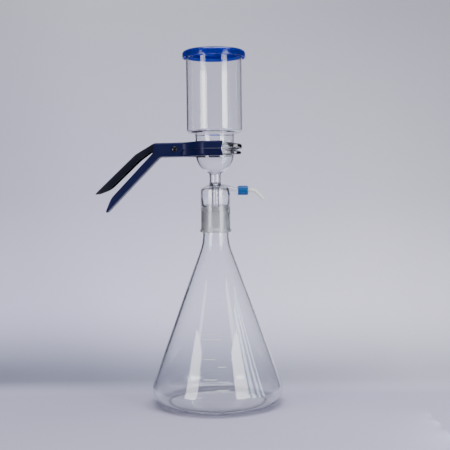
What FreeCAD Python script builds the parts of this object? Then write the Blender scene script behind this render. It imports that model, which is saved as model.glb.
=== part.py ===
import FreeCAD, Part
import math
import os

# Vacuum filtration set: conical receiver flask, filter head with vacuum side arm, funnel with
# lid, and the spring clamp that holds funnel and head together.
# Millimetres.  +Z is up, the origin is the centre of the flask's underside, the side arm points
# to +X and the clamp's handles point to -X.

# ---- Receiver flask ----
body_radius = 85.0
heel_radius = 20.0
cone_half_angle = 20.05
flare_radius = 69.0
flask_wall = 2.4

# ---- Ground joint, size 34/35 ----
joint_large_diameter = 34.5
joint_length = 35.0
joint_taper = 0.1
joint_clearance = 0.05
joint_mouth_gap = 1.8

# ---- Filter head ----
socket_wall = 1.9
tube_wall = 2.0
tube_length = 54.6
bead_height = 5.0
bead_bulge = 1.65
relief_length = 5.0
shoulder_radius = 6.5
stem_radius = 7.8
stem_wall = 2.0
stem_length = 15.3
drip_radius = 4.75
drip_wall = 1.4
drip_length = 40.0
bowl_margin = 5.0
bowl_wall = 2.0
lower_flange_width = 5.3
lower_flange_height = 5.9
lower_flange_rim = 3.7

# ---- Filter support and membrane ----
membrane_radius = 23.5
membrane_thickness = 0.2
membrane_grip = 3.5
seal_margin = 5.5
frit_height = 4.5
frit_seam = 0.05
frit_ledge = 1.5
frit_ledge_height = 1.2

# ---- Funnel ----
upper_flange_width = 6.5
upper_flange_height = 7.9
upper_flange_rim = 6.0
mouth_step = 0.2
neck_margin = 2.0
neck_height = 21.3
funnel_radius = 36.4
funnel_shoulder_radius = 6.0
funnel_height = 125.5
funnel_wall = 2.0
neck_fillet = 1.5

# ---- Lid ----
lid_gap = 3.0
lid_skirt = 7.2
lid_wall = 1.6
lid_top = 2.2
lid_dome = 1.0
lid_edge_radius = 4.5
lid_spigot_depth = 4.5
lid_spigot_gap = 0.5

# ---- Side arm, seal, screw cap and hose barb ----
arm_drop = 0.7
arm_radius = 4.4
arm_bore = 3.0
thread_radius = 4.9
side_arm_length = 10.05
cap_length = 13.3
cap_side_wall = 1.05
cap_wall = 1.0
cap_flutes = 20
flute_radius = 0.45
cap_clearance = 0.2
seal_thickness = 1.5
seal_bore = 1.6
barb_flange_height = 1.3
barb_radius = 2.3
barb_bore = 1.3
barb_tip_radius = 1.8
barb_tip_length = 5.0
barb_run = 6.4
barb_bend_radius = 5.0
barb_bend_angle = 45.0
barb_arm_length = 15.2
barb_clearance = 0.1

# ---- Spring clamp ----
sheet = 1.5
jaw_clearance = 0.4
arm_gap = 0.3
side_clearance = 0.5
notch_clearance = 2.5
jaw_reach = 10.2
jaw_lean = 2.0
skirt_gap = 0.4
taper_lead = 4.5
taper_length = 26.0
skirt_step_lead = 1.0
skirt_step_length = 5.0
lug_margin = 2.0
pivot_lead = 15.9
clamp_tail = 26.1
clamp_half_width = 16.0
jaw_rise_angle = 0.88
upper_handle_angles = (30.0, 42.7)
upper_handle_lengths = (28.4, 71.8)
lower_handle_lead = 7.1
lower_handle_angle = 45.8
lower_handle_length = 99.7
handle_depth = 8.7
handle_tip_length = 18.0
pin_radius = 2.4
pin_clearance = 0.05
pin_head_radius = 3.6
pin_head_height = 1.6
retainer_radius = 4.4
retainer_thickness = 1.2
spring_gap = 2.3
spring_wire = 1.4
spring_pitch = 1.7
spring_turns = 5.5
spring_leg = 26.0


# ---- Small drawing helpers ----

def polar(centre, radius, angle):
    """Point at an angle, in degrees from the first axis, round a centre."""
    turn = math.radians(angle)
    return (centre[0] + radius * math.cos(turn), centre[1] + radius * math.sin(turn))


def arc(centre, radius, start_angle, end_angle):
    """Outline step along an arc: its middle point and its end point."""
    middle = polar(centre, radius, (start_angle + end_angle) / 2)
    return (middle, polar(centre, radius, end_angle))


def upright(point):
    """Vector in the XZ plane."""
    return FreeCAD.Vector(point[0], 0, point[1])


def outline_face(start, steps):
    """Face in the XZ plane; a step is a point, or an arc's middle and end points."""
    edges = []
    here = start
    for step in list(steps) + [start]:
        bent = isinstance(step[0], tuple)
        end = step[1] if bent else step
        if bent:
            edges.append(Part.Arc(upright(here), upright(step[0]), upright(end)).toShape())
        elif math.dist(here, end) > 1e-6:
            edges.append(Part.LineSegment(upright(here), upright(end)).toShape())
        here = end
    return Part.Face(Part.Wire(edges))


def turned(start, steps):
    """Solid turned about Z from a closed outline of (radius, height) steps."""
    face = outline_face(start, steps)
    return face.revolve(FreeCAD.Vector(0, 0, 0), FreeCAD.Vector(0, 0, 1), 360)


def side_plate(start, steps, half_width):
    """Solid with the given XZ outline, centred on Y."""
    face = outline_face(start, steps)
    face.translate(FreeCAD.Vector(0, -half_width, 0))
    return face.extrude(FreeCAD.Vector(0, 2 * half_width, 0))


def x_cylinder(radius, start, end, height):
    return Part.makeCylinder(radius, end - start, FreeCAD.Vector(start, 0, height),
                             FreeCAD.Vector(1, 0, 0))


def y_cylinder(radius, start, end, x, height):
    return Part.makeCylinder(radius, end - start, FreeCAD.Vector(x, start, height),
                             FreeCAD.Vector(0, 1, 0))


# ---- Sizes and places that follow from those above ----
joint_radius = joint_large_diameter / 2
tube_radius = joint_radius + socket_wall
frit_radius = membrane_radius - membrane_grip
bowl_radius = frit_radius + bowl_margin
seal_face_radius = membrane_radius + seal_margin
lower_flange_radius = seal_face_radius + lower_flange_width
upper_flange_radius = seal_face_radius + upper_flange_width
funnel_mouth_radius = frit_radius - mouth_step
neck_radius = membrane_radius + neck_margin
lid_radius = funnel_radius + lid_gap + lid_wall
cap_radius = thread_radius + cap_clearance + cap_side_wall
flask_cos = math.cos(math.radians(cone_half_angle))
flask_sin = math.sin(math.radians(cone_half_angle))
heel_centre = (body_radius - heel_radius, heel_radius)
cone_distance = heel_centre[0] * flask_cos + heel_centre[1] * flask_sin + heel_radius
neck_z = (cone_distance + flare_radius - (joint_radius + flare_radius) * flask_cos) / flask_sin
flare_centre = (joint_radius + flare_radius, neck_z)
joint_top = neck_z + joint_length

mouth_z = neck_z + joint_mouth_gap
shoulder_z = mouth_z + tube_length
shoulder_top = shoulder_z + shoulder_radius
bowl_stem_drop = math.sqrt(bowl_radius ** 2 - stem_radius ** 2)
flange_under = shoulder_top + stem_length + bowl_stem_drop
mating_z = flange_under + lower_flange_height
funnel_base = mating_z + membrane_thickness
flange_top = funnel_base + upper_flange_height
neck_top = funnel_base + neck_height
rim_z = funnel_base + funnel_height
arm_z = shoulder_z - arm_drop
cap_start = tube_radius + side_arm_length
cap_end = cap_start + cap_length
barb_flange_end = cap_end - cap_wall
spout_end = barb_flange_end - barb_flange_height - seal_thickness

taper_start = -(upper_flange_radius + taper_lead)
taper_end = taper_start + taper_length
skirt_step_end = taper_start - skirt_step_lead
skirt_step_start = skirt_step_end - skirt_step_length
pivot_x = -(upper_flange_radius + pivot_lead)
clamp_rear = pivot_x - clamp_tail
lower_handle_start = clamp_rear + lower_handle_lead
spring_radius = pin_radius + spring_gap + spring_wire / 2
upper_web_under = flange_top + jaw_clearance
upper_web_top = upper_web_under + sheet
lower_web_top = flange_under - jaw_clearance
lower_web_under = lower_web_top - sheet
skirt_meeting = (upper_web_top + lower_web_under) / 2
pivot_z = skirt_meeting
notch_radius = max(neck_radius, bowl_radius) + notch_clearance
lower_half_jaw = upper_flange_radius + side_clearance + sheet
upper_half_jaw = lower_half_jaw + arm_gap + sheet
upper_half_rear = clamp_half_width
lower_half_rear = upper_half_rear - sheet - arm_gap


# ---- Glass ----

def cone_radius_at(height):
    """Radius of the ground cone's outside."""
    return joint_radius - (height - neck_z) * joint_taper / 2


def receiver_flask():
    """Conical flask: flat base, rounded heel, straight cone, flared neck, ground cone."""
    start = (0, 0)
    rim_radius = cone_radius_at(joint_top)
    outside = [
        (heel_centre[0], 0),
        arc(heel_centre, heel_radius, -90, cone_half_angle),
        polar(flare_centre, flare_radius, 180 + cone_half_angle),
        arc(flare_centre, flare_radius, 180 + cone_half_angle, 180),
        (rim_radius, joint_top),
    ]
    rim_middle = (rim_radius - flask_wall / 2, joint_top + flask_wall / 2)
    rim = [(rim_middle, (rim_radius - flask_wall, joint_top))]
    inner_heel = heel_radius - flask_wall
    inner_flare = flare_radius + flask_wall
    inside = [
        (joint_radius - flask_wall, neck_z),
        arc(flare_centre, inner_flare, 180, 180 + cone_half_angle),
        polar(heel_centre, inner_heel, cone_half_angle),
        arc(heel_centre, inner_heel, cone_half_angle, -90),
        (0, flask_wall),
    ]
    return turned(start, outside + rim + inside)


def filter_head_body():
    """Socket tube, shoulder, stem with drip tube, bowl and flange, turned as one piece."""
    socket_mouth = cone_radius_at(mouth_z) + joint_clearance
    socket_top = cone_radius_at(joint_top) + joint_clearance
    tube_inner = tube_radius - tube_wall
    stem_inner = stem_radius - stem_wall
    drip_inner = drip_radius - drip_wall
    bowl_inner = bowl_radius - bowl_wall
    shoulder_inner = shoulder_radius - tube_wall
    shoulder_centre = (tube_radius - shoulder_radius, shoulder_z)
    bowl_centre = (0, flange_under)
    frit_under = mating_z - frit_height
    ledge_radius = frit_radius - frit_ledge
    stem_angle = -math.degrees(math.acos(stem_radius / bowl_radius))
    inner_angle = -math.degrees(math.acos(stem_inner / bowl_inner))
    rim_round = lower_flange_rim / 2
    rim_centre = (lower_flange_radius - rim_round, flange_under + rim_round)
    drip_tip = shoulder_top - drip_length
    outside = [
        (rim_centre[0], flange_under + lower_flange_rim),
        arc(rim_centre, rim_round, 90, -90),
        (bowl_radius, flange_under),
        arc(bowl_centre, bowl_radius, 0, stem_angle),
        (stem_radius, shoulder_top),
        (shoulder_centre[0], shoulder_top),
        arc(shoulder_centre, shoulder_radius, 90, 0),
        (tube_radius, mouth_z + bead_height),
        ((tube_radius + bead_bulge, mouth_z + bead_height / 2), (tube_radius, mouth_z)),
    ]
    inside = [
        (socket_mouth, mouth_z),
        (socket_top, joint_top),
        (tube_inner, joint_top + relief_length),
        (tube_inner, shoulder_z),
        arc(shoulder_centre, shoulder_inner, 0, 90),
        (drip_radius, shoulder_z + shoulder_inner),
        (drip_radius, drip_tip),
        (drip_inner, drip_tip),
        (drip_inner, shoulder_top),
        (stem_inner, shoulder_top + stem_wall),
        polar(bowl_centre, bowl_inner, inner_angle),
        arc(bowl_centre, bowl_inner, inner_angle, 0),
        (ledge_radius, frit_under - frit_ledge_height),
        (ledge_radius, frit_under),
        (frit_radius + frit_seam, frit_under),
        (frit_radius + frit_seam, mating_z),
    ]
    return turned((seal_face_radius, mating_z), outside + inside)


def filter_head():
    """The turned glass with its vacuum side arm."""
    root = tube_radius - tube_wall / 2
    arm = x_cylinder(arm_radius, root, cap_start, arm_z)
    spout = x_cylinder(thread_radius, cap_start - relief_length, spout_end, arm_z)
    bore = x_cylinder(arm_bore, tube_radius - 2 * tube_wall, spout_end, arm_z)
    return filter_head_body().fuse([arm, spout]).cut(bore).removeSplitter()


def frit_disc():
    return Part.makeCylinder(frit_radius, frit_height, FreeCAD.Vector(0, 0, mating_z - frit_height))


def filter_membrane():
    return Part.makeCylinder(membrane_radius, membrane_thickness, FreeCAD.Vector(0, 0, mating_z))


def funnel():
    """Flange, neck, shoulder and graduated cylinder of the funnel."""
    corner = (funnel_radius - funnel_shoulder_radius, neck_top + funnel_shoulder_radius)
    fillet = (neck_radius + neck_fillet, flange_top + neck_fillet)
    neck_inner = neck_radius - funnel_wall
    inner_radius = funnel_radius - funnel_wall
    inner_corner = funnel_shoulder_radius - funnel_wall
    rim_under = flange_top - upper_flange_rim
    outside = [
        (upper_flange_radius, rim_under),
        (upper_flange_radius, flange_top),
        (fillet[0], flange_top),
        arc(fillet, neck_fillet, 270, 180),
        (neck_radius, neck_top),
        (corner[0], neck_top),
        arc(corner, funnel_shoulder_radius, -90, 0),
        (funnel_radius, rim_z - funnel_wall / 2),
    ]
    rim_middle = (funnel_radius - funnel_wall / 2, rim_z)
    rim = [(rim_middle, (inner_radius, rim_z - funnel_wall / 2))]
    inside = [
        (inner_radius, corner[1]),
        arc(corner, inner_corner, 0, -90),
        (neck_inner, neck_top + funnel_wall),
        (neck_inner, flange_top),
        (funnel_mouth_radius, funnel_base + membrane_thickness),
        (funnel_mouth_radius, funnel_base),
    ]
    return turned((seal_face_radius, funnel_base), outside + rim + inside)


def funnel_lid():
    """Loose lid: domed top, hanging skirt and a short spigot inside the funnel."""
    skirt_end = rim_z - lid_skirt
    top_z = rim_z + lid_top
    edge_centre = (lid_radius - lid_edge_radius, top_z - lid_edge_radius)
    inner_edge = lid_edge_radius - lid_wall
    spigot_radius = funnel_radius - funnel_wall - lid_spigot_gap
    spigot_inner = spigot_radius - lid_wall
    spigot_end = rim_z - lid_spigot_depth
    dome_middle = (edge_centre[0] / 2, top_z + lid_dome * 0.75)
    steps = [
        (dome_middle, (edge_centre[0], top_z)),
        arc(edge_centre, lid_edge_radius, 90, 0),
        (lid_radius, skirt_end),
        (lid_radius - lid_wall, skirt_end),
        (lid_radius - lid_wall, edge_centre[1]),
        arc(edge_centre, inner_edge, 0, 90),
        (spigot_radius, rim_z),
        (spigot_radius, spigot_end),
        (spigot_inner, spigot_end),
        (spigot_inner, rim_z),
        (0, rim_z),
    ]
    return turned((0, top_z + lid_dome), steps)


# ---- Hose connection on the side arm ----

def connector_seal():
    ring = x_cylinder(thread_radius, spout_end, spout_end + seal_thickness, arm_z)
    return ring.cut(x_cylinder(seal_bore, spout_end, spout_end + seal_thickness, arm_z))


def connector_cap():
    """Screw cap with a fluted grip, a bore over the spout and a hole for the barb."""
    body = x_cylinder(cap_radius, cap_start, cap_end, arm_z)
    bore = x_cylinder(thread_radius + cap_clearance, cap_start, cap_end - cap_wall, arm_z)
    hole = x_cylinder(barb_radius + barb_clearance, cap_start, cap_end, arm_z)
    cuts = [bore, hole]
    for index in range(cap_flutes):
        y, z = polar((0, arm_z), cap_radius, 360 * index / cap_flutes)
        flute = Part.makeCylinder(flute_radius, cap_length - cap_wall,
                                  FreeCAD.Vector(cap_start, y, z), FreeCAD.Vector(1, 0, 0))
        cuts.append(flute)
    return body.cut(cuts)


def barb_path():
    """Bend centre, bend end and tip of the barb's centre line, as (x, z)."""
    bend_start = (cap_end + barb_run, arm_z)
    bend_centre = (bend_start[0], arm_z - barb_bend_radius)
    bend_end = polar(bend_centre, barb_bend_radius, 90 - barb_bend_angle)
    tip = polar(bend_end, barb_arm_length, -barb_bend_angle)
    return bend_start, bend_centre, bend_end, tip


def barb_rod(radius, tip_radius):
    """Straight run, bend and slanting arm of the barb as one solid rod."""
    bend_start, bend_centre, bend_end, tip = barb_path()
    run = x_cylinder(radius, spout_end + seal_thickness, bend_start[0], arm_z)
    disc = Part.Face(Part.Wire(Part.makeCircle(radius, upright(bend_start),
                                               FreeCAD.Vector(1, 0, 0))))
    bend = disc.revolve(upright(bend_centre), FreeCAD.Vector(0, 1, 0), barb_bend_angle)
    slope = upright(tip) - upright(bend_end)
    cone_length = barb_arm_length - barb_tip_length
    direction = FreeCAD.Vector(slope).normalize()
    cone_end = upright(bend_end) + direction * cone_length
    if radius > tip_radius:
        taper = Part.makeCone(radius, tip_radius, cone_length, upright(bend_end), direction)
    else:
        taper = Part.makeCylinder(radius, cone_length, upright(bend_end), direction)
    end = Part.makeCylinder(tip_radius, barb_tip_length, cone_end, direction)
    return run.fuse([bend, taper, end])


def hose_barb():
    flange_start = spout_end + seal_thickness
    flange = x_cylinder(thread_radius, flange_start, flange_start + barb_flange_height, arm_z)
    outside = barb_rod(barb_radius, barb_tip_radius).fuse(flange)
    return outside.cut(barb_rod(barb_bore, barb_bore)).removeSplitter()


# ---- Spring clamp ----

def plan_prism(half_rear, half_jaw, low, high, overrun):
    """Prism of the arm's plan: narrow at the rear, widening to the jaws."""
    side = [
        (clamp_rear - overrun, half_rear),
        (taper_start, half_rear),
        (taper_end, half_jaw),
        (jaw_reach + overrun, half_jaw),
    ]
    corners = side + [(x, -y) for x, y in reversed(side)]
    points = [FreeCAD.Vector(x, y, low) for x, y in corners]
    face = Part.Face(Part.makePolygon(points + points[:1]))
    return face.extrude(FreeCAD.Vector(0, 0, high - low))


def notch(low, high):
    """Open-ended slot that lets the glass neck into the jaws."""
    round_end = Part.makeCylinder(notch_radius, high - low, FreeCAD.Vector(0, 0, low))
    slot = Part.makeBox(2 * jaw_reach, 2 * notch_radius, high - low,
                        FreeCAD.Vector(0, -notch_radius, low))
    return round_end.fuse(slot)


def offset_path(corners, distance):
    """Mitred copy of a path moved sideways: up, for a positive distance on a run towards -X."""
    runs = [math.atan2(b[1] - a[1], b[0] - a[0]) for a, b in zip(corners, corners[1:])]
    before = runs[:1] + runs
    after = runs + runs[-1:]
    moved = []
    for corner, first, second in zip(corners, before, after):
        half_turn = math.remainder(second - first, 2 * math.pi) / 2
        normal = math.degrees(first + half_turn) - 90
        moved.append(polar(corner, distance / math.cos(half_turn), normal))
    return moved


def channel_handle(corners, half_width, inward):
    """Bent channel along the corners; its walls stand up (inward 1) or hang down (inward -1)."""
    lining = offset_path(corners, inward * sheet)
    edge = offset_path(corners, inward * handle_depth)
    beyond = offset_path(corners, inward * 2 * handle_depth)
    tip = corners[-1]
    full_end = edge[-1]
    share = handle_tip_length / math.dist(edge[-1], edge[-2])
    tip_start = tuple(a + (b - a) * share for a, b in zip(edge[-1], edge[-2]))
    tip_middle = tuple((a + 2 * b + c) / 4 for a, b, c in zip(tip, full_end, tip_start))
    outer = side_plate(corners[0], corners[1:] + [(tip_middle, tip_start)] + edge[-2::-1],
                       half_width)
    hollow = side_plate(lining[0], lining[1:] + beyond[::-1], half_width - sheet)
    return outer.cut(hollow)


def handle_corners(start, angles, lengths):
    """Corners of a handle's web: a short root inside the arm, then the slanting runs."""
    corners = [(start[0] + handle_depth, start[1]), start]
    for angle, length in zip(angles, lengths):
        corners.append(polar(corners[-1], length, 180 + angle))
    return corners


def pin_hole():
    return y_cylinder(pin_radius + pin_clearance, -lower_half_jaw, lower_half_jaw, pivot_x, pivot_z)


def upper_skirt_edge(x):
    """Height of the upper skirt's edge before the arm is raised, so that the gap stays even."""
    fall = (x - pivot_x) * math.tan(math.radians(jaw_rise_angle))
    return skirt_meeting + skirt_gap / 2 - fall


def clamp_upper_arm():
    """Top plate with half-height jaw skirts, full-height lugs at the pin, and the dark handle."""
    outer = plan_prism(upper_half_rear, upper_half_jaw, lower_web_under, upper_web_top, 0)
    inner = plan_prism(upper_half_rear - sheet, upper_half_jaw - sheet,
                       lower_web_under - sheet, upper_web_under, sheet)
    skirt_tip = jaw_reach - jaw_lean
    profile = side_plate((clamp_rear, upper_web_top), [
        (jaw_reach, upper_web_top),
        (skirt_tip, upper_skirt_edge(skirt_tip)),
        (skirt_step_end, upper_skirt_edge(skirt_step_end)),
        (skirt_step_start, lower_web_under),
        (clamp_rear, lower_web_under),
    ], upper_half_jaw)
    corners = handle_corners((clamp_rear, upper_web_top), upper_handle_angles,
                             upper_handle_lengths)
    handle = channel_handle(corners, upper_half_rear, -1)
    gap = notch(lower_web_under, upper_web_top)
    arm = outer.cut(inner).common(profile).cut(gap).fuse(handle).cut(pin_hole())
    arm = arm.removeSplitter()
    arm.rotate(FreeCAD.Vector(pivot_x, 0, pivot_z), FreeCAD.Vector(0, -1, 0), jaw_rise_angle)
    return arm


def clamp_lower_arm():
    """Bottom plate with half-height jaw skirts, inner lugs at the pin, and the lower handle."""
    outer = plan_prism(lower_half_rear, lower_half_jaw, lower_web_under, upper_web_under, 0)
    inner = plan_prism(lower_half_rear - sheet, lower_half_jaw - sheet,
                       lower_web_top, upper_web_top, sheet)
    skirt_edge = skirt_meeting - skirt_gap / 2
    lug_top = pivot_z + pin_radius + lug_margin
    profile = side_plate((lower_handle_start, lower_web_under), [
        (jaw_reach, lower_web_under),
        (jaw_reach - jaw_lean, skirt_edge),
        (skirt_step_end, skirt_edge),
        (skirt_step_end - lug_margin, lug_top),
        (2 * pivot_x - skirt_step_end, lug_top),
        (lower_handle_start, lower_web_under + handle_depth),
    ], lower_half_jaw)
    corners = handle_corners((lower_handle_start, lower_web_under), [lower_handle_angle],
                             [lower_handle_length])
    handle = channel_handle(corners, lower_half_rear, 1)
    gap = notch(lower_web_under, upper_web_top)
    arm = outer.cut(inner).common(profile).cut(gap).fuse(handle).cut(pin_hole())
    return arm.removeSplitter()


def pivot_pin():
    """Pin with a domed head on the -Y side."""
    head_y = -upper_half_rear - pin_clearance
    end_y = upper_half_rear + retainer_thickness + pin_head_height
    shank = y_cylinder(pin_radius, head_y, end_y, pivot_x, pivot_z)
    head = y_cylinder(pin_head_radius, head_y - pin_head_height, head_y, pivot_x, pivot_z)
    round_edge = [edge for edge in head.Edges if edge.BoundBox.YMax < head_y - pin_head_height / 2]
    return shank.fuse(head.makeFillet(pin_head_height * 0.6, round_edge)).removeSplitter()


def pin_retainer():
    """Push-on ring that keeps the pin in."""
    start = upper_half_rear + pin_clearance
    ring = y_cylinder(retainer_radius, start, start + retainer_thickness, pivot_x, pivot_z)
    return ring.cut(y_cylinder(pin_radius, start, start + retainer_thickness, pivot_x, pivot_z))


def torsion_spring():
    """Coil round the pin with one leg under each handle's web."""
    height = spring_pitch * spring_turns
    axis = FreeCAD.Vector(0, 1, 0)
    helix = Part.makeHelix(spring_pitch, height, spring_radius)
    section = Part.Wire(Part.makeCircle(spring_wire / 2, FreeCAD.Vector(spring_radius, 0, 0), axis))
    coil = Part.Wire(helix.Edges).makePipeShell([section], True, True)
    coil.rotate(FreeCAD.Vector(0, 0, 0), FreeCAD.Vector(0, 0, 1), -90)
    coil.rotate(FreeCAD.Vector(0, 0, 0), FreeCAD.Vector(1, 0, 0), -90)
    coil.translate(FreeCAD.Vector(pivot_x, -height / 2, pivot_z))
    legs = []
    for side in (-1, 1):
        foot = FreeCAD.Vector(pivot_x, side * height / 2, pivot_z - side * spring_radius)
        leg = Part.makeCylinder(spring_wire / 2, spring_leg, foot, FreeCAD.Vector(-1, 0, 0))
        legs.append(leg.fuse(Part.makeSphere(spring_wire / 2, foot)))
    return coil.fuse(legs)


nodes = {
    "receiver_flask": receiver_flask,
    "filter_head": filter_head,
    "frit_disc": frit_disc,
    "filter_membrane": filter_membrane,
    "funnel": funnel,
    "funnel_lid": funnel_lid,
    "clamp_upper_arm": clamp_upper_arm,
    "clamp_lower_arm": clamp_lower_arm,
    "pivot_pin": pivot_pin,
    "pin_retainer": pin_retainer,
    "torsion_spring": torsion_spring,
    "connector_cap": connector_cap,
    "connector_seal": connector_seal,
    "hose_barb": hose_barb,
}

os.makedirs("parts", exist_ok=True)
for name, build in nodes.items():
    shape = build()
    if len(shape.Solids) != 1 or not shape.isValid():
        raise ValueError(f"{name} has {len(shape.Solids)} solids, valid: {shape.isValid()}")
    shape.Solids[0].exportStep(f"parts/{name}.step")
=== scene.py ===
"""Vacuum filtration set: conical receiver flask, glass filter head, funnel, lid and spring clamp.

Every new piece is a surface worked out from a formula: an outline turned about an axis, a
section carried along a path, or a sheet-metal strip folded along its own web.  Shapes are worked
out in millimetres and made in metres.
"""

import bpy
import numpy as np
from mathutils import Matrix, Vector


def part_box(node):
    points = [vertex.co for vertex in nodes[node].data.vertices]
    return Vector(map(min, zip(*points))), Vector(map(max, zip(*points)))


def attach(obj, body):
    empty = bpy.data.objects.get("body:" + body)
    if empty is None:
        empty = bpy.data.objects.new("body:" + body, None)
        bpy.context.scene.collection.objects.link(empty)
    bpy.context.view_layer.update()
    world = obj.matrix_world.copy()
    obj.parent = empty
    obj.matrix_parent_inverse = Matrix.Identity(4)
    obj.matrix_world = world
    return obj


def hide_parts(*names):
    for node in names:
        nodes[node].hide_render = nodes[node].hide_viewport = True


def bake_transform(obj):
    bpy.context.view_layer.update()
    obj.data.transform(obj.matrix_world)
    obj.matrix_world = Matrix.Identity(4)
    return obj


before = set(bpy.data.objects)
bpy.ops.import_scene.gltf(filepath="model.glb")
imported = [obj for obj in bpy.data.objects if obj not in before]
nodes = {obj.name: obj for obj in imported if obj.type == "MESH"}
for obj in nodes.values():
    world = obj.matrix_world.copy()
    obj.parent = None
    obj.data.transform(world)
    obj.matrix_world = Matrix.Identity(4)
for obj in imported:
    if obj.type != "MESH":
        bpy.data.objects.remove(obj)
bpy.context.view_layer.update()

MM = 0.001
TAU = 2 * np.pi

# ---- Sizes shared with the design, in millimetres ----
WALL = 2.4
HEEL = 20.0
CONE_ANGLE = np.radians(20.05)
BODY_RADIUS = 85.0
FLARE = 69.0
CONE_RADIUS = 17.25
CONE_LENGTH = 35.0
CONE_SLOPE = 0.05
TUBE_RADIUS = 19.15
TUBE_WALL = 2.0
TUBE_LENGTH = 54.6
BEAD = 1.65
MOUTH_GAP = 1.8
STEM_RADIUS = 7.8
DRIP_RADIUS = 4.75
DRIP_WALL = 1.4
DRIP_LENGTH = 40.0
BOWL_RADIUS = 25.0
FRIT_RADIUS = 20.0
FRIT_HEIGHT = 4.5
LOWER_FLANGE = 34.3
UPPER_FLANGE = 35.5
SEAL_FACE = 29.0
NECK_RADIUS = 25.5
FUNNEL_RADIUS = 36.4
LID_RADIUS = 41.0
ARM_RADIUS = 4.4
ARM_BORE = 3.0
SHEET = 1.5
UPPER_HANDLE = 71.8
LOWER_HANDLE = 99.7
TIP_TAPER = 17.0
NOTCH_RADIUS = 28.0
JAW_RISE = np.radians(0.88)
HANDLE_DEPTH = 8.7
PIN_RADIUS = 2.4
JAW_TIP = 10.2
FREE_TIP = 8.2
COIL_RADIUS = 5.4
WIRE_RADIUS = 0.7
SPRING_LEG = 25.2


def low(node):
    """Lowest corner of a CAD node, in millimetres."""
    return np.array(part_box(node)[0]) / MM


def high(node):
    """Highest corner of a CAD node, in millimetres."""
    return np.array(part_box(node)[1]) / MM


# ---- Levels read from the frame, in millimetres ----
MATING_Z = high("frit_disc")[2]
FUNNEL_BASE = low("funnel")[2]
RIM_Z = high("funnel")[2]
JOINT_TOP = high("receiver_flask")[2] - WALL / 2
NECK_Z = JOINT_TOP - CONE_LENGTH
MOUTH_Z = NECK_Z + MOUTH_GAP
SHOULDER_Z = MOUTH_Z + TUBE_LENGTH
SHOULDER_TOP = SHOULDER_Z + 6.5
FLANGE_UNDER = MATING_Z - 5.9
FLANGE_TOP = FUNNEL_BASE + 7.9
NECK_TOP = FUNNEL_BASE + 21.3
PIVOT_X = (low("pivot_pin")[0] + high("pivot_pin")[0]) / 2
PIVOT_Z = (low("pivot_pin")[2] + high("pivot_pin")[2]) / 2
ARM_Z = (low("connector_seal")[2] + high("connector_seal")[2]) / 2
CAP_START = low("connector_cap")[0]
CAP_END = high("connector_cap")[0]
SEAL_START = low("connector_seal")[0]
SEAL_END = high("connector_seal")[0]


# ---- Outlines ----

def arc(centre, radius, start, end, step=4.0):
    """Points on a circle from one angle to another, in degrees, as (first, second) rows."""
    count = max(int(np.ceil(abs(end - start) / step)), 2) + 1
    turn = np.radians(np.linspace(start, end, count))
    return np.stack([centre[0] + radius * np.cos(turn), centre[1] + radius * np.sin(turn)], 1)


def rounded(corners, step=6.0):
    """Polyline whose corners (first, second, fillet radius) are replaced by tangent arcs.

    Each fillet starts at radius x tan(half the turn) before its corner and ends as far after it.
    """
    rows = [np.asarray(corner, float) for corner in corners]
    out = [rows[0][None, :2]]
    for before, here, after in zip(rows, rows[1:], rows[2:]):
        into = (here[:2] - before[:2]) / np.linalg.norm(here[:2] - before[:2])
        away = (after[:2] - here[:2]) / np.linalg.norm(after[:2] - here[:2])
        turn = np.arctan2(into[0] * away[1] - into[1] * away[0], into @ away)
        if here[2] <= 0 or abs(turn) < 1e-3:
            out.append(here[None, :2])
            continue
        side = np.sign(turn)
        reach = here[2] * np.tan(abs(turn) / 2)
        normal = side * np.array([-into[1], into[0]])
        centre = here[:2] - into * reach + normal * here[2]
        count = max(int(np.ceil(np.degrees(abs(turn)) / step)), 2) + 1
        swing = np.linspace(0, turn, count)
        spoke = -normal
        out.append(np.stack([
            centre[0] + here[2] * (spoke[0] * np.cos(swing) - spoke[1] * np.sin(swing)),
            centre[1] + here[2] * (spoke[0] * np.sin(swing) + spoke[1] * np.cos(swing)),
        ], 1))
    out.append(rows[-1][None, :2])
    return np.concatenate(out)


def lengths_along(path):
    """Distance travelled at each point of a polyline."""
    return np.concatenate([[0], np.cumsum(np.linalg.norm(np.diff(path, axis=0), axis=1))])


def flat_rows(points):
    """Rows of an arc, as corners that stay sharp."""
    return [(a, b, 0) for a, b in points]


# ---- Meshes ----

def grid_quads(rows, columns, wrap_rows=False, wrap_columns=False):
    """Four-cornered faces over a grid of points, row by row; wrapped sides are joined."""
    r, c = np.meshgrid(np.arange(rows if wrap_rows else rows - 1),
                       np.arange(columns if wrap_columns else columns - 1), indexing="ij")
    r2, c2 = (r + 1) % rows, (c + 1) % columns
    return np.stack([r * columns + c, r * columns + c2, r2 * columns + c2, r2 * columns + c],
                    -1).reshape(-1, 4)


def grid_object(name, points, wrap_rows=False, wrap_columns=True, sharp=40.0):
    """Mesh over a grid of points (rows, columns, 3) in millimetres."""
    quads = grid_quads(*points.shape[:2], wrap_rows, wrap_columns)
    return mesh_object(name, points.reshape(-1, 3), quads, sharp)


def mesh_object(name, points, quads, sharp=40.0, closed=True):
    """Object from arrays of points in millimetres and four-cornered faces."""
    mesh = bpy.data.meshes.new(name)
    mesh.vertices.add(len(points))
    mesh.vertices.foreach_set("co", (np.asarray(points, float) * MM).ravel())
    mesh.loops.add(quads.size)
    mesh.loops.foreach_set("vertex_index", quads.ravel().astype(np.int32))
    mesh.polygons.add(len(quads))
    mesh.polygons.foreach_set("loop_start", np.arange(0, quads.size, 4, dtype=np.int32))
    mesh.update(calc_edges=True)
    made = bpy.data.objects.new(name, mesh)
    bpy.context.scene.collection.objects.link(made)
    tidy_mesh(made, sharp, closed)
    return made


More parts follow.
